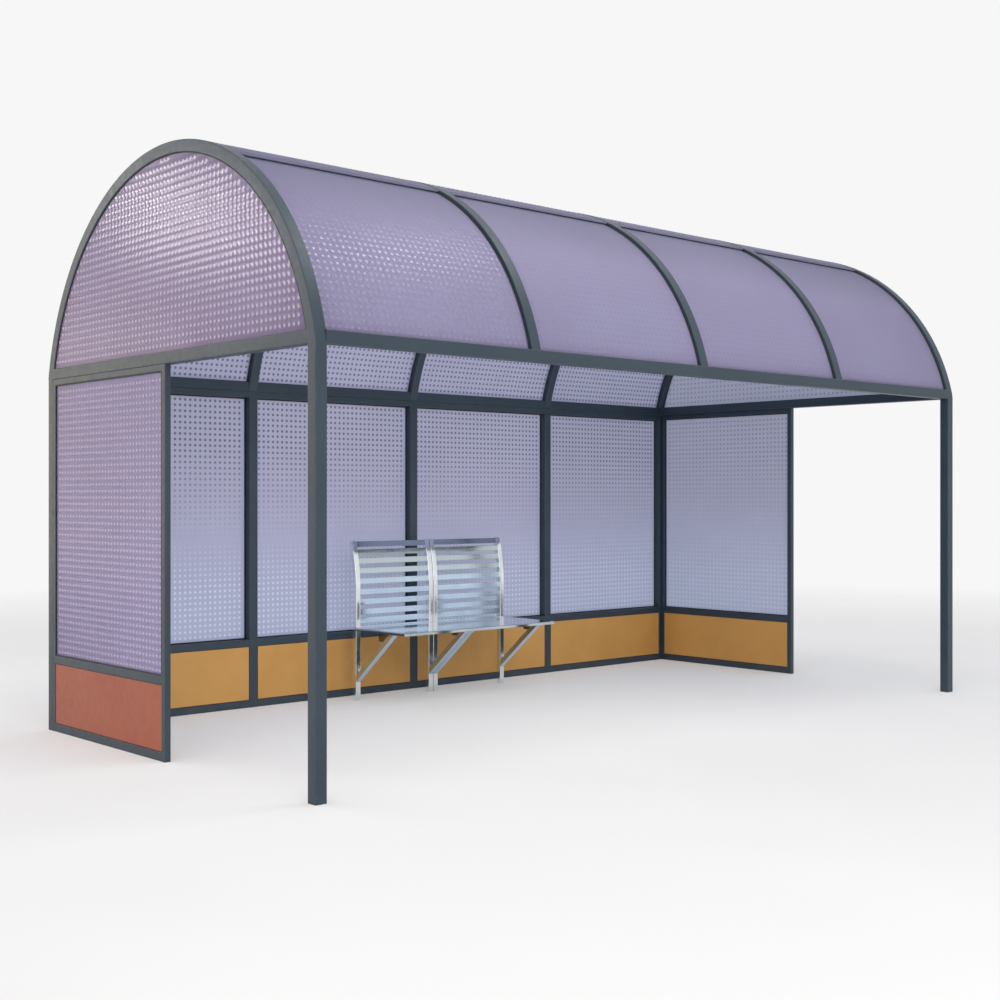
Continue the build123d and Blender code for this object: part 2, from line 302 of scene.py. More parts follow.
def slate_paint():
    """Satin stoved paint: slow drift between two slates, a fine skin, worn corners, dust near the floor."""
    f = Finish("slate_satin_paint", Specular_IOR_Level=0.5)
    drift = f.spread(f.noise(1.7, 4.0), 0.35, 0.65)
    base = f.mix(drift, shade(0.019, 0.037, 0.054), shade(0.025, 0.046, 0.065))
    specks = f.spread(f.noise(220.0, 2.0), 0.62, 0.78, 0.0, 0.3)
    base = f.mix(specks, base, shade(0.04, 0.055, 0.066))
    worn = f.math("MULTIPLY", f.edge(), f.spread(f.noise(14.0, 6.0, 0.7), 0.5, 0.7, 0.12, 0.7))
    base = f.mix(worn, base, shade(0.09, 0.1, 0.105))
    near_floor = f.spread(f.level(), 0.0, 0.3, 1.0, 0.0)
    dust_and_shade = f.math("MULTIPLY", near_floor, f.spread(f.noise(9.0, 5.0), 0.4, 0.7))
    base = f.mix(f.math("MULTIPLY", dust_and_shade, 0.3), base, shade(0.1, 0.1, 0.095))
    f.feed("Base Color", base)
    rough = f.spread(f.noise(35.0, 4.0), 0.3, 0.7, 0.4, 0.5)
    f.feed("Roughness", f.math("ADD", rough, f.math("MULTIPLY", dust_and_shade, 0.25)))
    f.feed("Normal", f.bump(f.noise(420.0, 2.0), 0.0002, 0.3))
    return f.material


SHEET_PASSING = 0.64       # share of each skin's shading that passes light on
# tones of the sheets, as they throw light back and as they pass it on: dark and light cloud, rain lines,
# painted light on the low part of a wall, painted shade near a roof's ridge, painted shade in the upper
# hollows, painted highlight in the lower hollows
SHEET_BACK = ((0.33, 0.26, 0.37), (0.37, 0.3, 0.42), (0.45, 0.4, 0.48), (0.4, 0.36, 0.5), (0.14, 0.13, 0.19),
              (0.12, 0.115, 0.15), (0.85, 0.86, 0.98))
SHEET_ON = ((0.76, 0.81, 0.91), (0.79, 0.84, 0.94), (0.8, 0.82, 0.88), (0.79, 0.89, 1.0), (0.5, 0.53, 0.62),
            (0.3, 0.3, 0.36), (0.95, 0.97, 1.0))
CROWN_ON = (0.84, 0.84, 0.95)
# heights between which each band of painted light and painted shade sets in
HOLLOW_SHADE_BAND = (1.1, 1.75)
HOLLOW_HIGHLIGHT_BAND = (0.8, 1.15)
LOW_LIGHT_BAND = (0.5, 1.35)
RIDGE_SHADE_BAND = (2.75, 3.2)


def lavender_sheet(name, crown, crown_passing, gloss, dust_and_shade=0.0, hollow_highlight=0.0, low_wall_light=0.0, ridge_shade=0.0,
                   flat_rough=(0.22, 0.3), crown_rough=0.2, painted_cast=(1.0, 1.0, 1.0)):
    """Glossy sheet, coloured right through, that passes on more light than it throws back.

    Cloudy colour and faint rain lines. A dimple's raised side is smoother, where pressing has stretched the
    sheet, and is painted paler, a painted highlight; its hollow side, marked with negative numbers, has
    painted shade on the upper part of a wall and a painted highlight on the lower part. The low part of a
    wall is painted clearer and bluer, painted light, and painted shade darkens a roof near its ridge.
    painted_cast is a painted cast of the light on the sheet's side, times every tone.
    """
    f = Finish(name, Specular_IOR_Level=gloss)
    cloud = f.spread(f.noise(0.9, 3.0), 0.35, 0.65)
    rain = f.spread(f.noise(7.0, 4.0, place=f.stretched((4.0, 4.0, 0.12))), 0.5, 0.75, 0.0, 0.1)
    # painted highlight: a dimple's raised side is painted paler
    raised = f.spread(f.edge(), 0.04, 0.5)
    hollow = f.spread(f.edge(), -0.38, -0.1, 1.0, 0.0)
    # painted shade in the hollows on the upper part of a wall, painted highlight in those on the lower part
    dark_hollow_shade = f.math("MULTIPLY", hollow, f.spread(f.level(), *HOLLOW_SHADE_BAND, 0.0, dust_and_shade))
    pale_hollow_highlight = f.math("MULTIPLY", hollow, f.spread(f.level(), *HOLLOW_HIGHLIGHT_BAND, hollow_highlight, 0.0))
    # painted light: the low part of a wall is painted clearer and bluer
    painted_low_light = f.spread(f.level(), *LOW_LIGHT_BAND, low_wall_light, 0.0)
    # painted shade: a roof is painted darker near its ridge
    ridge_shade_mask = f.spread(f.level(), *RIDGE_SHADE_BAND, 0.0, ridge_shade)

    def dimpled(crown_tone, tones):
        raised_tone, deep, clear, streak, low_light_tone, ridge_shade_tone, hollow_shade_tone, hollow_highlight_tone = (
            shade(*(c * t for c, t in zip(tone, painted_cast))) for tone in (crown_tone,) + tones)
        tone = f.mix(rain, f.mix(cloud, deep, clear), streak)
        tone = f.mix(raised, tone, raised_tone)
        tone = f.mix(ridge_shade_mask, f.mix(painted_low_light, tone, low_light_tone), ridge_shade_tone)
        return f.mix(pale_hollow_highlight, f.mix(dark_hollow_shade, tone, hollow_shade_tone), hollow_highlight_tone)

    f.feed("Base Color", dimpled(crown, SHEET_BACK))
    smooth = f.spread(f.edge(), 0.02, 0.3)
    flat = f.math("MULTIPLY", f.spread(f.noise(8.0, 4.0), 0.3, 0.7, *flat_rough),
                  f.spread(smooth, 0.0, 1.0, 1.0, 0.0))
    f.feed("Roughness", f.math("ADD", flat, f.math("MULTIPLY", smooth, crown_rough)))
    ripple = f.bump(f.noise(7.0, 1.0), 0.003, 0.2)
    f.feed("Normal", f.bump(f.noise(600.0, 2.0), 0.0001, 0.3, ripple))
    passing = f.node("BsdfTranslucent", {"Color": dimpled(CROWN_ON, SHEET_ON)})
    share = f.spread(raised, 0.0, 1.0, SHEET_PASSING, crown_passing)
    both = f.node("MixShader", {0: share, 1: f.shader.outputs[0], 2: passing})
    f.tree.links.new(both, f.tree.nodes["Material Output"].inputs["Surface"])
    return f.material


def laminate(name, dark, light, fleck):
    """Satin laminate: fine flecks, cloudy tone, scuffs low down, pale cut edges and a faint grain."""
    f = Finish(name, Specular_IOR_Level=0.35)
    cloud = f.spread(f.noise(2.6, 5.0, 0.6), 0.35, 0.65)
    base = f.mix(cloud, dark, light)
    flecks = f.spread(f.noise(340.0, 3.0, 0.7), 0.56, 0.7, 0.0, 0.5)
    base = f.mix(flecks, base, fleck)
    scuff = f.spread(f.noise(11.0, 6.0, 0.75, f.stretched((0.5, 0.5, 3.0))), 0.64, 0.78, 0.0, 0.25)
    low = f.spread(f.level(), 0.05, 0.32, 1.0, 0.15)
    base = f.mix(f.math("MULTIPLY", scuff, low), base, shade(0.5, 0.4, 0.33))
    base = f.mix(f.math("MULTIPLY", f.edge(), 0.4), base, fleck)
    f.feed("Base Color", base)
    f.feed("Roughness", f.spread(f.noise(22.0, 4.0), 0.3, 0.7, 0.4, 0.56))
    f.feed("Normal", f.bump(f.noise(500.0, 2.0), 0.0002, 0.4))
    return f.material


def polished_steel(name, bright, hazed, upper=None):
    """Mirror-polished stainless steel: long polishing lines and a faint, uneven haze.

    upper is the tone of a part's upper end, where the painted blue reflection of the lower part ends.
    """
    f = Finish(name, Metallic=1.0)
    haze = f.spread(f.noise(6.0, 4.0), 0.35, 0.7)
    base = f.mix(haze, bright, hazed)
    if upper:
        # painted reflection: a part's upper end turns from the blue to another tone
        base = f.mix(f.spread(f.level(), 0.78, 0.92), base, upper)
    f.feed("Base Color", base)
    lines = f.noise(60.0, 3.0, place=f.stretched((0.15, 6.0, 6.0)))
    rough = f.spread(lines, 0.3, 0.7, 0.05, 0.13)
    f.feed("Roughness", f.math("ADD", rough, f.math("MULTIPLY", haze, 0.05)))
    f.feed("Normal", f.bump(lines, 0.0001, 0.3))
    return f.material


def seal_rubber():
    """Matt black sealing rubber with a dry grey bloom."""
    f = Finish("seal_rubber")
    bloom = f.spread(f.noise(30.0, 5.0), 0.4, 0.75)
    f.feed("Base Color", f.mix(bloom, shade(0.012, 0.013, 0.016), shade(0.03, 0.031, 0.035)))
    f.feed("Roughness", f.spread(bloom, 0.0, 1.0, 0.55, 0.75))
    f.feed("Normal", f.bump(f.noise(300.0, 2.0), 0.0002, 0.3))
    return f.material


SLATE = slate_paint()
# the sheets of each side are copies of one finish, their crown tones, painted_cast and gloss set apart for
# how the light falls there: a painted warm cast makes the left end and gable pinker than the right end
PALE_CROWN = (0.8, 0.7, 0.86)
PINK_CROWN = (0.86, 0.7, 0.82)
ROOF_CROWN = (0.39, 0.36, 0.5)
LAVENDER_REAR = lavender_sheet("lavender_rear_sheet", PALE_CROWN, crown_passing=0.46, gloss=0.14, dust_and_shade=0.95,
                               hollow_highlight=0.9, low_wall_light=0.8, painted_cast=(1.0, 1.0, 1.01))
LAVENDER_RIGHT = lavender_sheet("lavender_right_sheet", PALE_CROWN, crown_passing=0.46, gloss=0.14,
                                dust_and_shade=0.5, hollow_highlight=0.6, low_wall_light=0.8)
LAVENDER_LEFT = lavender_sheet("lavender_left_sheet", PINK_CROWN, crown_passing=0.44, gloss=0.4, dust_and_shade=0.95,
                               hollow_highlight=0.9, painted_cast=(0.87, 0.845, 0.92))
LAVENDER_GABLE = lavender_sheet("lavender_gable_sheet", PINK_CROWN, crown_passing=0.44, gloss=0.8,
                                flat_rough=(0.21, 0.27), crown_rough=0.25, painted_cast=(0.91, 0.85, 0.9))
LAVENDER_ROOF = lavender_sheet("lavender_roof_sheet", ROOF_CROWN, crown_passing=0.42, gloss=1.0, dust_and_shade=0.95,
                               ridge_shade=0.62, flat_rough=(0.62, 0.7), crown_rough=0.3, painted_cast=(0.99, 0.99, 1.02))
OCHRE = laminate("ochre_laminate", shade(0.525, 0.275, 0.07), shade(0.585, 0.315, 0.088),
                 shade(0.66, 0.39, 0.14))
TERRACOTTA = laminate("terracotta_laminate", shade(0.33, 0.087, 0.045), shade(0.37, 0.1, 0.052),
                      shade(0.46, 0.165, 0.1))
STEEL = polished_steel("polished_stainless", shade(0.83, 0.87, 0.9), shade(0.7, 0.74, 0.77))
# the blue of the back slats and the braces is a painted reflection
REFLECTION_BLUE_STEEL = polished_steel("stainless_painted_blue_reflection", shade(0.56, 0.7, 0.88), shade(0.5, 0.62, 0.76),
                            shade(0.5, 0.57, 0.6))
GREY_STEEL = polished_steel("grey_seat_stainless", shade(0.56, 0.6, 0.63), shade(0.45, 0.49, 0.5))
DULL_STEEL = polished_steel("dull_bracket_steel", shade(0.2, 0.21, 0.22), shade(0.14, 0.15, 0.16))
RUBBER = seal_rubber()


# --- frame tubes ---
def painted(name, forms, *nodes):
    """A piece of the painted frame."""
    make_piece(name, forms, SLATE, "slate_frame", *nodes)


def painted_bars(name, boxes, along, radius, reach, node):
    """Painted bars as one piece, one for each (low, high) pair of corners."""
    painted(name, [straight_bar(low, high, along, radius, reach) for low, high in boxes], node)


def bay_range(i):
    """X between the side faces of the arches of bay i."""
    return ARCH_X[i] + TUBE / 2, ARCH_X[i + 1] - TUBE / 2


def rear_boxes(node):
    """The box of a CAD node of the rear wall, cut to each bay."""
    low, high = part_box(node)
    return [((x0, low[Y], low[Z]), (x1, high[Y], high[Z])) for x0, x1 in map(bay_range, range(BAYS))]


for side in ("left", "right"):
    node = "post_front_" + side
    painted_bars("corner_" + node, [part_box(node)], Z, TUBE_ROUND, 0.0, node)
for i in range(BAYS + 1):
    node = "post_rear_%d" % (i + 1)
    painted_bars("wall_" + node, [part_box(node)], Z, TUBE_ROUND, 0.0, node)
painted_bars("front_eave_tube", [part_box("eave_beam_front")], X, TUBE_ROUND, TUBE_ROUND, "eave_beam_front")
for name, node, radius in (("rear_eave_tubes", "eave_beam_rear", TUBE_ROUND),
                           ("rear_head_members", "rear_head_rails", RAIL_ROUND),
                           ("rear_waist_members", "rear_mid_rails", RAIL_ROUND),
                           ("rear_sill_members", "rear_bottom_rails", RAIL_ROUND)):
    painted_bars(name, rear_boxes(node), X, radius, TUBE_ROUND, node)


BEND_STEPS = 96            # sections along an arch, and along a seal bent the same way
SEAL_STEPS = 72


def bent_bar(x, half_width, middle_radius, half_height, rounding, front_foot, rear_foot,
             steps=BEND_STEPS, corner_steps=3):
    """Bar bent to the vault circle and cut level at both feet.

    A point of the outline at radius r from the vault axis runs over angles from -acos((front - c) / r)
    to +acos((rear - c) / r), where c is the height of the axis, so that every line of the bar ends at
    the height of its foot. Depth is held inside the posts' outer faces.
    """
    outline, edge = rounded_outline(half_width, half_height, rounding, corner_steps)
    radius = middle_radius + outline[:, 1]
    first = -np.arccos((front_foot - VAULT_Z) / radius)
    last = np.arccos((rear_foot - VAULT_Z) / radius)
    share = np.linspace(0, 1, steps + 1)[:, None]
    angle = first + (last - first) * share
    points = np.empty(angle.shape + (3,))
    points[..., X] = x + outline[:, 0]
    points[..., Y] = np.clip(radius * np.sin(angle), -HALF, HALF)
    points[..., Z] = VAULT_Z + radius * np.cos(angle)
    return closed_tube(points, edge)


for i, x in enumerate(ARCH_X):
    node = "arch_%d" % (i + 1)
    front_foot = EAVE if i in (0, BAYS) else BEAM_TOP - TUBE_ROUND
    painted("bent_" + node,
            [bent_bar(x, TUBE / 2, VAULT_R - TUBE / 2, TUBE / 2, TUBE_ROUND, front_foot, EAVE)], node)


def coped_tube(x):
    """Level tube between the feet of an end arch, its ends following the inside of the bend.

    A line of the outline at height z ends at y = +-sqrt((r + reach)^2 - (z - c)^2).
    """
    outline, edge = rounded_outline(TUBE / 2, TUBE / 2, TUBE_ROUND)
    z = (EAVE + BEAM_TOP) / 2 + outline[:, 0]
    end = np.sqrt((VAULT_IN + TUBE_ROUND) ** 2 - (z - VAULT_Z) ** 2)
    points = np.empty((2, len(outline), 3))
    points[..., X] = x + outline[:, 1]
    points[..., Y] = np.stack([-end, end])
    points[..., Z] = z
    return closed_tube(points, edge)


for side, x in (("left", ARCH_X[0]), ("right", ARCH_X[-1])):
    painted("end_tie_tube_" + side, [coped_tube(x)], "tie_beam_" + side)

# --- end screens ---
WAIST_LOW, WAIST_HIGH = (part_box("rear_mid_rails")[k][Z] for k in (0, 1))
SILL_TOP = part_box("rear_bottom_rails")[1][Z]
SCREEN_HEAD_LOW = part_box("end_sheet_left")[1][Z]


def end_screen(side):
    """Free post, stile and three rails of one end screen."""
    node = "screen_frame_" + side
    low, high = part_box(node)
    sheet_low, sheet_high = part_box("end_sheet_" + side)
    forms = [straight_bar(low, (high[X], sheet_low[Y], EAVE), Z, RAIL_ROUND),
             straight_bar((low[X], sheet_high[Y], 0), high, Z, RAIL_ROUND)]
    for z0, z1 in ((0, SILL_TOP), (WAIST_LOW, WAIST_HIGH), (SCREEN_HEAD_LOW, EAVE)):
        forms.append(straight_bar((low[X], sheet_low[Y], z0), (high[X], sheet_high[Y], z1), Y,
                                  RAIL_ROUND, RAIL_ROUND))
    painted("end_screen_frame_" + side, forms, node)


end_screen("left")
end_screen("right")


# --- embossed sheets ---
# for each kind of sheet, across and then up: pitch of the dimples, plain border, shift off centre
REAR_FIELD = ((0.0367, 0.013, 0.0), (0.0367, 0.013, 0.002))
END_FIELD = ((0.0367, 0.013, -0.009), (0.0367, 0.013, -0.01))
GABLE_FIELD = ((0.0392, 0.013, 0.0196), (0.0392, 0.004, 0.0085))
SLOPE_FIELD = ((0.0369, 0.003, 0.0), (0.03756, 0.013, 0.012))
CROWN_FIELD = ((0.0369, 0.003, 0.0), (0.0376, 0.013, 0.0))
DIMPLE_RADIUS = 0.0125
DIMPLE_HEIGHT = 0.003
SHEET_WALL = 0.0028
EDGE_CLEAR = 0.004         # plain strip between a dimple and a curved edge


def dimple_lines(length, pitch, border, shift):
    """Grid lines across a sheet: both edges, and three lines for each dimple of a row.

    The row has as many whole pitches as fit between the plain borders and is centred, then shifted.
    Returns the lines and, for each line, its place in its dimple: -1, 0 or 1, and 9 on the edges.
    """
    count = int((length - 2 * border) / pitch)
    centres = length / 2 + shift + (np.arange(count) - (count - 1) / 2) * pitch
    steps = np.array([-1.0, 0.0, 1.0])
    lines = (centres[:, None] + steps * DIMPLE_RADIUS).reshape(-1)
    place = np.tile(steps, count)
    return np.concatenate([[0], lines, [length]]), np.concatenate([[9], place, [9]])


def emboss(width, height, field):
    """Grid of a dimpled sheet: u, v and a mark on the crowns, each (rows, columns), and its faces.

    Round each dimple the four corner points of its block are drawn in onto the circle, which makes an
    octagon with its crown in the middle. The faces of a dimple are eight triangles about the crown.
    """
    (u_lines, u_place), (v_lines, v_place) = (dimple_lines(length, *row) for length, row in
                                              zip((width, height), field))
    v, u = np.meshgrid(v_lines, u_lines, indexing="ij")
    pv, pu = np.meshgrid(v_place, u_place, indexing="ij")
    in_dimple = (pu != 9) & (pv != 9)
    corner = in_dimple & (np.abs(pu) == 1) & (np.abs(pv) == 1)
    draw = DIMPLE_RADIUS * (1 - math.sqrt(0.5))
    u = u - np.where(corner, pu * draw, 0)
    v = v - np.where(corner, pv * draw, 0)
    crown = in_dimple & (pu == 0) & (pv == 0)
    return u, v, crown.astype(float), dimple_faces(crown)


def dimple_faces(crown):
    """Quads of the flat part of a grid, and two triangles from the crown for each quad that has one."""
    quads = grid_quads(*crown.shape)
    touches = crown.reshape(-1)[quads]
    at_crown = touches.any(axis=1)
    turn = touches[at_crown].argmax(axis=1)
    fan = np.take_along_axis(quads[at_crown], (turn[:, None] + np.arange(4)) % 4, axis=1)
    return [quads[~at_crown], np.concatenate([fan[:, [0, 1, 2]], fan[:, [0, 2, 3]]])]


def rim_quads(faces, back):
    """Quads that join the open edges of a skin to the same edges of a second skin, back points later.

    An open edge is one that is walked in one direction only.
    """
    walks = np.concatenate([np.stack([f, np.roll(f, -1, axis=1)], axis=-1).reshape(-1, 2) for f in faces])
    size = int(walks.max()) + 1
    key = walks[:, 0].astype(np.int64) * size + walks[:, 1]
    reverse = walks[:, 1].astype(np.int64) * size + walks[:, 0]
    open_edges = walks[~np.isin(reverse, key)]
    a, b = open_edges[:, 0], open_edges[:, 1]
    return np.stack([b, a, a + back, b + back], axis=1)


def closed_sheet(outer, inner, faces, crown):
    """Closed sheet from its outer and inner skin, grids of points that share one set of faces.

    Crowns are marked 1 on the outer skin and -1 on the inner one. Points that no face uses are left out.
    """
    used = np.unique(np.concatenate([f.reshape(-1) for f in faces]))
    renumber = np.full(crown.size, -1)
    renumber[used] = np.arange(len(used))
    faces = [renumber[f] for f in faces]
    mark = crown.reshape(-1)[used]
    back = len(used)
    points = np.concatenate([outer.reshape(-1, 3)[used], inner.reshape(-1, 3)[used]])
    skins = faces + [f[:, ::-1] + back for f in faces] + [rim_quads(faces, back)]
    return points, skins, np.concatenate([mark, -mark])


def sheet_piece(name, forms, material, node):
    """A piece of embossed sheet, its dimples shaded round."""
    make_piece(name, forms, material, "lavender_sheet", node, level_flats=False)


def wall_sheet(node, along, outward_side, field, material):
    """Flat embossed sheet that fills its CAD node: along is its level axis, outward_side +1 or -1."""
    low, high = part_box(node)
    across = 1 - along
    u, v, crown, faces = emboss(high[along] - low[along], high[Z] - low[Z], field)
    inner_face = low[across] if outward_side > 0 else high[across]
    skins = []
    for depth in (SHEET_WALL, 0.0):
        points = np.empty(u.shape + (3,))
        points[..., along] = low[along] + u
        points[..., across] = inner_face + outward_side * (depth + DIMPLE_HEIGHT * crown)
        points[..., Z] = low[Z] + v
        skins.append(points)
    sheet_piece("embossed_" + node, [closed_sheet(*skins, faces, crown)], material, node)


for i in range(BAYS):
    wall_sheet("rear_sheet_%d" % (i + 1), X, 1, REAR_FIELD, LAVENDER_REAR)
wall_sheet("end_sheet_left", Y, -1, END_FIELD, LAVENDER_LEFT)
wall_sheet("end_sheet_right", Y, 1, END_FIELD, LAVENDER_RIGHT)


def gable_sheet(node, outward_side, material):
    """Embossed sheet under an end arch: the flat grid, cut to the circle of the arch.

    Points outside the circle are drawn in onto it along their radius, and faces that lay wholly
    outside are left out. Dimples that would touch the edge stay flat.
    """
    low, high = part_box(node)
    half = high[Y]
    limit = high[Z] - VAULT_Z
    u, v, crown, faces = emboss(2 * half, high[Z] - low[Z], GABLE_FIELD)
    y, z = u - half, low[Z] + v
    reach = np.hypot(y, z - VAULT_Z)
    crown = np.where(reach > limit - EDGE_CLEAR - DIMPLE_RADIUS, 0.0, crown)
    outside = reach > limit
    pull = np.where(outside & (z > low[Z]), limit / reach, 1.0)
    y = y * pull
    z = VAULT_Z + (z - VAULT_Z) * pull
    faces = [f[~outside.reshape(-1)[f].all(axis=1)] for f in faces]
    inner_face = low[X] if outward_side > 0 else high[X]
    skins = [np.stack([inner_face + outward_side * (depth + DIMPLE_HEIGHT * crown), y, z], axis=-1)
             for depth in (SHEET_WALL, 0.0)]
    name = "embossed_" + node.replace("tympanum", "gable")
    sheet_piece(name, [closed_sheet(*skins, faces, crown)], material, node)


gable_sheet("tympanum_left", -1, LAVENDER_GABLE)
gable_sheet("tympanum_right", 1, LAVENDER_RIGHT)

# --- roof ---
ROOF_INSET = 0.018         # slope sheet below the outer face of the arches
ROOF_SHEET = 0.006         # room for the sheet and its dimples
CROWN_ANGLE = math.radians(26.2)
CROWN_LAP = 0.040 / VAULT_R
LIP_WALL = 0.003
LIP_CLEAR = 0.0003         # lip of the crown sheet above the slope sheet
SLOPE_OUT = VAULT_R - ROOF_INSET


def on_vault(x, angle, radius):
    """Points at x on the vault, at an angle from the top towards the rear, at a radius."""
    return np.stack([x + 0 * angle, radius * np.sin(angle), VAULT_Z + radius * np.cos(angle)], axis=-1)


def slope_sheet(i, side):
    """One roof slope, from under the crown sheet down to the eave."""
    x0, x1 = bay_range(i)
    inner = SLOPE_OUT - ROOF_SHEET
    top = CROWN_ANGLE - CROWN_LAP
    foot = math.acos((BEAM_TOP - VAULT_Z) / inner)
    u, v, crown, faces = emboss(x1 - x0, (foot - top) * SLOPE_OUT, SLOPE_FIELD)
    skins = []
    for depth in (SHEET_WALL, 0.0):
        radius = inner + depth + DIMPLE_HEIGHT * crown
        end = np.arccos((BEAM_TOP - VAULT_Z) / radius)
        skins.append(on_vault(x0 + u, side * (top + (end - top) * v / v.max()), radius))
    return closed_sheet(*skins, faces, crown)


def crown_sheet(i):
    """The sheet over the ridge, level with the outside of the arches.

    Beyond each long edge the grid has one more row, straight down towards the slope sheet.
    """
    x0, x1 = bay_range(i)
    u, v, crown, faces = emboss(x1 - x0, 2 * CROWN_ANGLE * VAULT_R, CROWN_FIELD)
    columns = u.shape[1]
    share = np.pad(v / v.max() * 2 - 1, ((1, 1), (0, 0)), mode="edge")
    u = np.pad(u, ((1, 1), (0, 0)), mode="edge")
    crown = np.pad(crown, ((1, 1), (0, 0)))
    edge_rows = grid_quads(*u.shape).reshape(-1, columns - 1, 4)[[0, -1]].reshape(-1, 4)
    faces = [np.concatenate([faces[0] + columns, edge_rows]), faces[1] + columns]
    skins = []
    for depth, back in ((ROOF_SHEET - DIMPLE_HEIGHT, 0.0), (0.0, LIP_WALL / VAULT_R)):
        radius = VAULT_R - ROOF_SHEET + depth + DIMPLE_HEIGHT * crown
        radius[[0, -1]] = SLOPE_OUT + LIP_CLEAR
        skins.append(on_vault(x0 + u, share * (CROWN_ANGLE - back), radius))
    return closed_sheet(*skins, faces, crown)


for i in range(BAYS):
    sheet_piece("embossed_roof_slopes_%d" % (i + 1), [slope_sheet(i, -1), slope_sheet(i, 1)],
                LAVENDER_ROOF, "roof_slope_sheets_%d" % (i + 1))
    sheet_piece("embossed_roof_crown_%d" % (i + 1), [crown_sheet(i)],
                LAVENDER_ROOF, "roof_crown_sheet_%d" % (i + 1))


# --- lower panels ---
PANEL_ROUND = 0.0015
PANEL_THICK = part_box("rear_kick_inner")[1][Y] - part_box("rear_kick_inner")[0][Y]


def panels(name, boxes, along, material, slot, node):
    """Laminate panels with eased edges, a narrow gap inside their openings."""
    gap = np.zeros(3)
    gap[[along, Z]] = PANEL_GAP
    make_piece(name, [straight_bar(np.add(low, gap), np.subtract(high, gap), along, PANEL_ROUND)
                      for low, high in boxes], material, slot, node)


def end_boxes(node):
    """The left and right boxes of a node that has one panel at each end."""
    low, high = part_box(node)
    return [(low, (low[X] + PANEL_THICK, high[Y], high[Z])),
            ((high[X] - PANEL_THICK, low[Y], low[Z]), high)]


WALLS = (("rear", rear_boxes, X), ("end", end_boxes, Y))
for wall, boxes, along in WALLS:
    for place, layer, material, slot in (("inside", "inner", OCHRE, "ochre_panel"),
                                         ("outside", "outer", TERRACOTTA, "terracotta_panel")):
        node = "%s_kick_%s" % (wall, layer)
        panels("%s_panels_%s" % (wall, place), boxes(node), along, material, slot, node)


# --- rubber seals ---
def seal_frame(low, high, along, from_side, to_side, width):
    """Rubber frame inside an upright rectangle: a rounded strip carried round it, mitred at the corners.

    Corner k of the path is moved inwards by the strip's own width coordinate along both edges; from_side
    and to_side are where the strip starts and ends across the sheet.
    """
    outline, _ = rounded_outline(width / 2, abs(to_side - from_side) / 2, width * 0.2, 1)
    inwards = outline[:, 0] + width / 2
    points = np.empty((4, len(outline), 3))
    corners = ((low[along], low[Z], 1, 1), (high[along], low[Z], -1, 1),
               (high[along], high[Z], -1, -1), (low[along], high[Z], 1, -1))
    for k, (a, z, step_a, step_z) in enumerate(corners):
        points[k, :, along] = a + step_a * inwards
        points[k, :, Z] = z + step_z * inwards
        points[k, :, 1 - along] = (from_side + to_side) / 2 + outline[:, 1]
    return closed_ring(points, np.zeros(len(outline)))


def sheet_seals(node, along):
    """A seal on both faces of a wall sheet."""
    low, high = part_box(node)
    across = 1 - along
    return [seal_frame(low, high, along, *sides, SEAL_WIDTH)
            for sides in ((low[across] - SEAL_PROUD, low[across] + SHEET_WALL / 2),
                          (high[across] - SHEET_WALL, high[across] + SEAL_PROUD))]


PANEL_SEAL = 0.0045
PANEL_SEAL_SUNK = 0.002    # behind each face of the panel


def panel_seals(boxes, along):
    """A seal in the gap round each panel, a little behind both of its faces."""
    across = 1 - along
    return [seal_frame(low, high, along, low[across] + PANEL_SEAL_SUNK, high[across] - PANEL_SEAL_SUNK,
                       PANEL_SEAL) for low, high in boxes]


forms = []
for i in range(BAYS):
    forms += sheet_seals("rear_sheet_%d" % (i + 1), X)
for side in ("left", "right"):
    forms += sheet_seals("end_sheet_" + side, Y)
for wall, boxes, along in WALLS:
    for layer in ("inner", "outer"):
        forms += panel_seals(boxes("%s_kick_%s" % (wall, layer)), along)
make_piece("wall_seals", forms, RUBBER, "slate_frame", level_flats=False)

SEAL_HALF = SEAL_WIDTH / 2
ROOF_SEAL_RISE = 0.004     # half its height, its middle a little below the face of the slope sheet
ROOF_SEAL_SINK = 0.001
ROOF_SEAL_ROUND = 0.0015
GABLE_SEAL_HALF = 0.002
BEAD_HALF = 0.0025         # rubber bead along the foot of each lip of the crown sheets
BEAD_HEIGHT = 0.007
SMALL_ROUND = 0.001        # rounding of the gable seals and the beads


def bent_seal(x, half_width, middle_radius, half_height, rounding):
    """Thin rubber strip bent to the vault, from beam to beam."""
    return bent_bar(x, half_width, middle_radius, half_height, rounding, BEAM_TOP, BEAM_TOP,
                    SEAL_STEPS, 1)


def ridge_bead(x0, x1, side):
    """Straight bead on the roof slope against a lip: its outline turned to the vault there.

    A point of the outline, t along the vault and r out from it, lies at y = (R + r) sin a + t cos a and
    z = c + (R + r) cos a - t sin a, with a the angle of the lip and R the radius of the slope.
    """
    outline, edge = rounded_outline(BEAD_HALF, BEAD_HEIGHT / 2, SMALL_ROUND, 1)
    angle = CROWN_ANGLE + BEAD_HALF / VAULT_R
    radius = SLOPE_OUT + BEAD_HEIGHT / 2 + outline[:, 1]
    points = np.empty((2, len(outline), 3))
    points[..., X] = np.array([x0, x1])[:, None]
    points[..., Y] = side * (radius * math.sin(angle) + outline[:, 0] * math.cos(angle))
    points[..., Z] = VAULT_Z + radius * math.cos(angle) - outline[:, 0] * math.sin(angle)
    return closed_tube(points, edge)


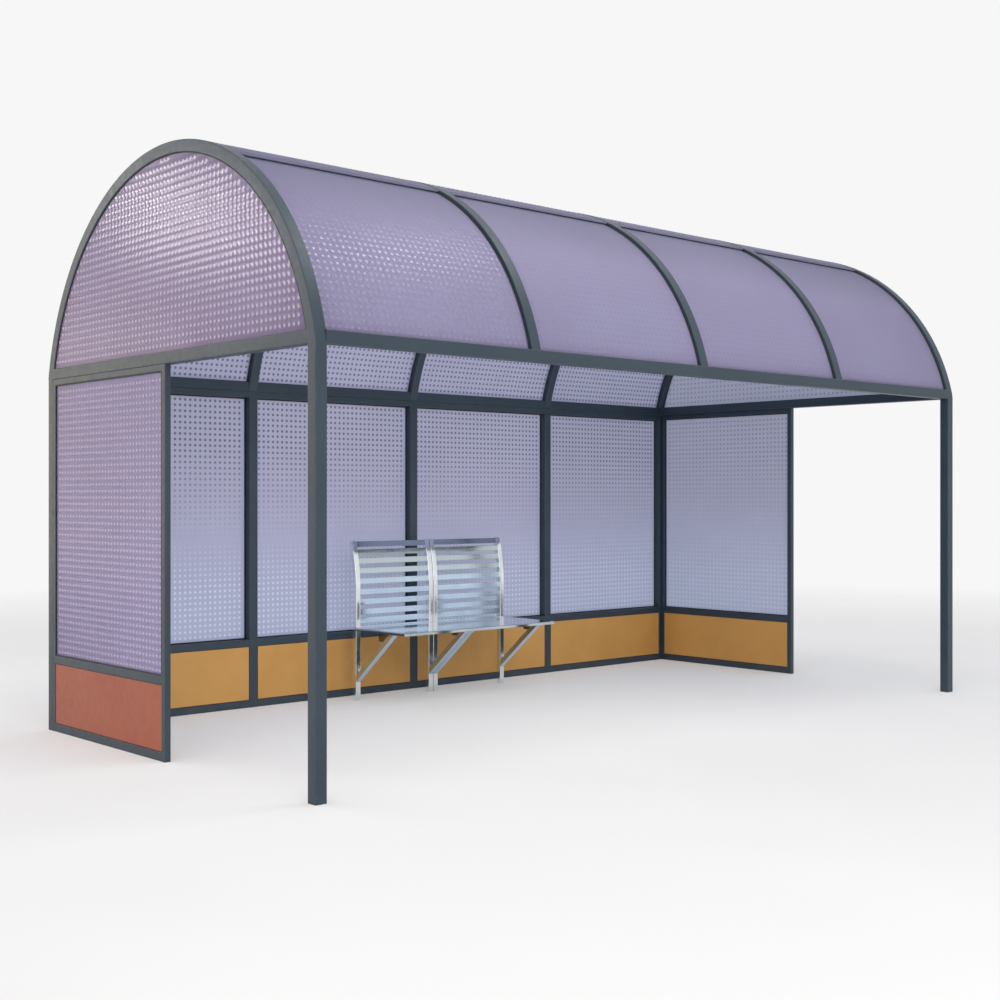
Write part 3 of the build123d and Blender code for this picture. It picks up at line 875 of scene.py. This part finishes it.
forms = []
for i in range(BAYS):
    for x, inwards in zip(bay_range(i), (SEAL_HALF, -SEAL_HALF)):
        forms.append(bent_seal(x + inwards, SEAL_HALF, SLOPE_OUT - ROOF_SEAL_SINK, ROOF_SEAL_RISE,
                               ROOF_SEAL_ROUND))
    forms += [ridge_bead(*bay_range(i), side) for side in (-1, 1)]
for outer_face in (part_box("tympanum_left")[0][X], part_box("tympanum_right")[1][X]):
    forms.append(bent_seal(outer_face, SEAL_PROUD, VAULT_IN - GABLE_SEAL_HALF, GABLE_SEAL_HALF, SMALL_ROUND))
make_piece("roof_seals", forms, RUBBER, "slate_frame", level_flats=False)

# --- bench ---
BACK_BEND = 0.760          # height where an upright starts to curve back
BACK_RADIUS = 1.120
UPRIGHT_DEPTH = 0.036
UPRIGHT_GAP = 0.003
UPRIGHT_ROUND = 0.004
SLAT_WIDTH = 0.040
SLAT_THICK = 0.006
SLAT_ROUND = 0.0016
SLAT_SINK = 0.004
SLAT_DROP = 0.029          # lower edge of the lowest slat below the seat top
SLAT_HEAD = 0.003          # highest slat below the end of the uprights
SLAT_GAPS = (16, 21, 28, 28, 34, 32, 28, 21, 18)   # from the lowest up, shared out over the free length
SLATS = len(SLAT_GAPS) + 1
BRACE_FOOT = 0.127
SEAT_SHEET = 0.003
SEAT_ROUND = 0.005         # outside of the fold
SEAT_CORNER = 0.008        # corners of the plan
bench_low, bench_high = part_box("bench_uprights")
seat_low, seat_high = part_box("bench_seat")
BENCH_FRONT = bench_low[Y]
UPRIGHT_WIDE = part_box("bench_slats_left")[0][X] - bench_low[X]
UPRIGHT_X = (bench_low[X], -UPRIGHT_GAP / 2 - UPRIGHT_WIDE, UPRIGHT_GAP / 2, bench_high[X] - UPRIGHT_WIDE)
BACK_SWEEP = math.asin((bench_high[Z] - BACK_BEND) / BACK_RADIUS)


def back_point(offset, angle):
    """Y and Z on the curved back, at an offset behind the front face."""
    radius = BACK_RADIUS - offset
    return BENCH_FRONT + BACK_RADIUS - radius * np.cos(angle), BACK_BEND + radius * np.sin(angle)


def bench_upright(x0, steps=20):
    """Square tube carried up a straight line, then round the arc of the back."""
    outline, edge = rounded_outline(UPRIGHT_WIDE / 2, UPRIGHT_DEPTH / 2, UPRIGHT_ROUND)
    offset = outline[:, 1] + UPRIGHT_DEPTH / 2
    angle = np.linspace(0, BACK_SWEEP, steps + 1)[:, None]
    curve_y, curve_z = back_point(offset[None, :], angle)
    points = np.empty((steps + 2, len(outline), 3))
    points[..., X] = x0 + UPRIGHT_WIDE / 2 + outline[:, 0]
    points[0, :, Y] = BENCH_FRONT + offset
    points[0, :, Z] = 0.0
    points[1:, :, Y] = curve_y
    points[1:, :, Z] = curve_z
    return closed_tube(points, edge)


make_piece("curved_bench_uprights", [bench_upright(x0) for x0 in UPRIGHT_X], STEEL, "polished_steel",
           "bench_uprights")


def bench_slat(x0, x1, k):
    """Flat bar with eased edges, turned to follow the curve of the uprights."""
    lowest = seat_high[Z] - SLAT_DROP
    free = BACK_BEND + BACK_RADIUS * BACK_SWEEP - SLAT_HEAD - lowest - SLATS * SLAT_WIDTH
    below = free * sum(SLAT_GAPS[:k]) / sum(SLAT_GAPS)
    along = lowest + (k + 0.5) * SLAT_WIDTH + below - BACK_BEND
    depth = SLAT_SINK + SLAT_THICK / 2
    turn = max(along, 0.0) / BACK_RADIUS
    centre_y, centre_z = back_point(depth, turn)
    centre_z += min(along, 0.0)
    outline, edge = rounded_outline(SLAT_THICK / 2, SLAT_WIDTH / 2, SLAT_ROUND)
    points = np.empty((2, len(outline), 3))
    points[..., X] = np.array([x0, x1])[:, None]
    points[..., Y] = centre_y + outline[:, 0] * math.cos(turn) + outline[:, 1] * math.sin(turn)
    points[..., Z] = centre_z - outline[:, 0] * math.sin(turn) + outline[:, 1] * math.cos(turn)
    return closed_tube(points, edge)


for side, x0, x1 in (("left", UPRIGHT_X[0] + UPRIGHT_WIDE, UPRIGHT_X[1]),
                     ("right", UPRIGHT_X[2] + UPRIGHT_WIDE, UPRIGHT_X[3])):
    make_piece("back_slats_" + side, [bench_slat(x0, x1, k) for k in range(SLATS)], REFLECTION_BLUE_STEEL,
               "polished_steel", "bench_slats_" + side)


def seat_tray():
    """Folded tray: its edge profile carried round the rounded plan, closed by the top and the underside.

    A plan point is a corner centre plus (corner radius - inset) times (cos t, sin t).
    """
    bend = np.linspace(0, math.pi / 2, 4)
    inner_round = SEAT_ROUND - SEAT_SHEET
    profile = np.concatenate([
        np.stack([SEAT_ROUND * (1 - np.sin(bend)), seat_high[Z] - SEAT_ROUND * (1 - np.cos(bend))], axis=1),
        [[0.0, seat_low[Z]], [SEAT_SHEET, seat_low[Z]]],
        np.stack([SEAT_ROUND - inner_round * np.cos(bend),
                  seat_high[Z] - SEAT_ROUND + inner_round * np.sin(bend)], axis=1)])
    turn = (np.arange(4)[:, None] + np.linspace(0, 1, 4)[None, :]).reshape(-1) * math.pi / 2
    corner = np.repeat(np.array([[1, 1], [-1, 1], [-1, -1], [1, -1]]), 4, axis=0)
    centre = (np.array(seat_low) + np.array(seat_high)) / 2
    half = (np.array(seat_high) - np.array(seat_low)) / 2
    away = SEAT_CORNER - profile[:, 0][None, :]
    points = np.empty((len(turn), len(profile), 3))
    for axis, part in ((X, np.cos(turn)), (Y, np.sin(turn))):
        middle = centre[axis] + corner[:, axis] * (half[axis] - SEAT_CORNER)
        points[..., axis] = middle[:, None] + away * part[:, None]
    points[..., Z] = profile[:, 1]
    around, across = points.shape[:2]
    sides = grid_quads(around + 1, across) % (around * across)
    first = np.arange(around)[None, :] * across
    last = first[:, ::-1] + across - 1
    edge = np.zeros(across)
    edge[1:4] = 1.0
    return points.reshape(-1, 3), [sides, first, last], np.tile(edge, around)


make_piece("folded_seat_tray", [seat_tray()], GREY_STEEL, "polished_steel", "bench_seat")


def seat_brace(x0):
    """Diagonal tube from the face of an upright to the underside of the seat, both ends cut to fit.

    Along the tube y = front + b sin t - s cos t and z = foot + b cos t + s sin t, where b is the height
    in the tube and t its slope; s runs from b tan t to where z meets the underside.
    """
    brace_low, brace_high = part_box("bench_braces")
    soffit = brace_high[Z]
    slope = math.atan2(soffit - BRACE_FOOT, BENCH_FRONT - brace_low[Y])
    outline, edge = rounded_outline(UPRIGHT_WIDE / 2, UPRIGHT_WIDE / 2, UPRIGHT_ROUND)
    b = outline[:, 1] + UPRIGHT_WIDE / 2
    start = b * math.tan(slope)
    end = (soffit - BRACE_FOOT - b * math.cos(slope)) / math.sin(slope)
    s = np.stack([start, end])
    points = np.empty((2, len(outline), 3))
    points[..., X] = x0 + UPRIGHT_WIDE / 2 + outline[:, 0]
    points[..., Y] = BENCH_FRONT + b * math.sin(slope) - s * math.cos(slope)
    points[..., Z] = BRACE_FOOT + b * math.cos(slope) + s * math.sin(slope)
    return closed_tube(points, edge)


make_piece("seat_braces", [seat_brace(x0) for x0 in UPRIGHT_X], REFLECTION_BLUE_STEEL, "polished_steel", "bench_braces")

# the small seat brackets keep their CAD shape
for node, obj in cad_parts.items():
    if not obj.hide_render:
        obj.data.materials.clear()
        obj.data.materials.append(DULL_STEEL)

# --- floor, surround and lamps ---
PALE = 0.93                # background and open floor
FLOOR_RADIUS = 16.0
FADE_FROM, FADE_TO = 7.0, 14.0
FLOOR_SOLID = 0.78


def floor():
    """Disc of rings and spokes that fades into the background towards its rim."""
    rings, spokes = 24, 96
    radius = FLOOR_RADIUS * np.linspace(0, 1, rings + 1)[1:, None]
    turn = np.linspace(0, 2 * math.pi, spokes, endpoint=False)[None, :]
    ring_points = np.stack([radius * np.cos(turn), radius * np.sin(turn), np.zeros((rings, spokes))], axis=-1)
    points = np.concatenate([np.zeros((1, 3)), ring_points.reshape(-1, 3)])
    c = np.arange(spokes)
    hub = np.stack([np.zeros(spokes, int), 1 + c, 1 + (c + 1) % spokes], axis=1)
    quads = grid_quads(rings, spokes, closed=True)[:, ::-1] + 1
    obj = mesh_object("studio_floor", points, [hub, quads])
    f = Finish("pale_floor", Roughness=0.9, Specular_IOR_Level=0.0)
    drift = f.spread(f.noise(0.6, 2.0), 0.3, 0.7)
    f.feed("Base Color", f.mix(drift, shade(0.845, 0.845, 0.8), shade(0.875, 0.875, 0.83)))
    distance = f.node("VectorMath", {0: f.place}, output=1, operation="LENGTH")
    f.feed("Alpha", f.spread(distance, FADE_FROM, FADE_TO, FLOOR_SOLID, 0.0))
    obj.data.materials.append(f.material)


CARD_Y = -0.3              # dark cards in front of the bench, for its mirrors
CARD_FOOT = 0.001
CARD_TOP = 0.33
CARD_X = (-0.3, 2.2)
STRIP_TOP = 0.54
STRIP_X = (-0.04, 0.08)    # to either side of the line that an upright mirrors


def dark_card(name, x_range, z_range):
    """Upright olive card that only mirrors show: a flat sheet over a range of x and of height."""
    x, z = np.meshgrid(x_range, z_range)
    points = np.stack([x, np.full(x.shape, CARD_Y), z], axis=-1).reshape(-1, 3)
    obj = mesh_object(name, points, [grid_quads(2, 2)])
    f = Finish("olive_card_cloth", Roughness=1.0, Specular_IOR_Level=0.0)
    drift = f.spread(f.noise(3.0), 0.3, 0.7)
    f.feed("Base Color", f.mix(drift, shade(0.05, 0.06, 0.045), shade(0.12, 0.13, 0.1)))
    obj.data.materials.append(f.material)
    obj.visible_camera = False
    obj.visible_diffuse = False
    obj.visible_transmission = False
    obj.visible_shadow = False


LIGHT_LEFT = shade(0.96, 0.87, 0.89)
LIGHT_RIGHT = shade(0.72, 0.8, 0.91)
LIGHT_FRONT, LIGHT_BACK = 1.05, 0.95


def surround():
    """World: pale behind the object and in its reflections; the light it gives turns from a warmer and
    stronger tone on the left to a cooler one on the right, and falls off a little from front to back.
    """
    world = bpy.data.worlds.new("studio")
    bpy.context.scene.world = world
    world.use_nodes = True
    tree = world.node_tree
    tree.nodes.clear()
    path = tree.nodes.new("ShaderNodeLightPath").outputs
    seen = wire(tree, "Math", {0: path["Is Camera Ray"], 1: path["Is Glossy Ray"]}, operation="MAXIMUM")
    shown = wire(tree, "Math", {0: seen, 1: path["Is Transmission Ray"]}, operation="MAXIMUM")
    towards = wire(tree, "TexCoord", output="Generated")
    turned = wire(tree, "SeparateXYZ", {0: towards}).node.outputs
    sweep = wire(tree, "MapRange", {"Value": turned[X], "From Min": -1.0})
    tone = wire(tree, "Mix", {0: sweep, 6: LIGHT_LEFT, 7: LIGHT_RIGHT}, output=2, data_type="RGBA")
    strength = wire(tree, "MapRange", {"Value": turned[Y], "From Min": -1.0, "To Min": LIGHT_FRONT,
                                       "To Max": LIGHT_BACK})
    light = wire(tree, "Background", {"Color": tone, "Strength": strength})
    pale = wire(tree, "Background", {"Color": shade(PALE, PALE, PALE), "Strength": 1.0})
    mix = wire(tree, "MixShader", {0: shown, 1: light, 2: pale})
    out = tree.nodes.new("ShaderNodeOutputWorld")
    tree.links.new(mix, out.inputs["Surface"])


def softbox(name, place, aim, size, power, colour, length=None):
    """Area lamp at a place, turned to face a point: square, or drawn out to a length."""
    data = bpy.data.lights.new(name, "AREA")
    data.shape = "RECTANGLE"
    data.size = length or size
    data.size_y = size
    data.energy = power
    data.color = colour
    lamp = bpy.data.objects.new(name, data)
    direction = Vector(aim) - Vector(place)
    lamp.location = place
    lamp.rotation_euler = direction.to_track_quat("-Z", "Y").to_euler()
    bpy.context.scene.collection.objects.link(lamp)
    return lamp


floor()
dark_card("studio_low_card", CARD_X, (CARD_FOOT, CARD_TOP))
# a strip stands where a line of sight that an upright throws back meets the plane of the cards
for x0 in (UPRIGHT_X[0], 0.0, UPRIGHT_X[-1]):
    mirrored = x0 + (BENCH_FRONT - CARD_Y) * (x0 - CAMERA_PLACE[X]) / (BENCH_FRONT - CAMERA_PLACE[Y])
    dark_card("studio_card_strip", [mirrored + reach for reach in STRIP_X], (CARD_TOP, STRIP_TOP))
surround()
softbox("overhead_softbox", (-4.4, -2.7, 7.6), (0, 0, 1), 5.0, 60, (1.0, 0.99, 0.97))
softbox("front_softbox", (-5.0, -8.8, 3.2), (0, 0, 1.2), 5.0, 172, (0.97, 0.99, 1.0))
# the warm card shows in gloss only, and the fill, light thrown about under the roof, never shows itself
card = softbox("warm_card", (-6.4, 9.2, 2.0), (-2.7, 0.7, 1.4), 3.6, 80, (1.0, 0.76, 0.42))
card.visible_diffuse = False
fill = softbox("inside_fill", (-0.55, -0.6, 2.04), (-0.55, 1.0, 0.0), 1.2, 23, (1.0, 0.95, 0.88), 3.5)
fill.visible_camera = False
fill.visible_glossy = False
softbox("gable_lamp", (-5.8, 4.9, 4.07), (-2.76, -0.4, 2.83), 0.35, 40, (1.0, 0.93, 0.9), 0.5)
softbox("roof_lamp", (0.95, -2.3, 6.8), (-2.3, -1.2, 2.55), 1.3, 62, (1.0, 0.97, 1.0), 1.9)

bpy.context.scene.view_settings.view_transform = "Standard"
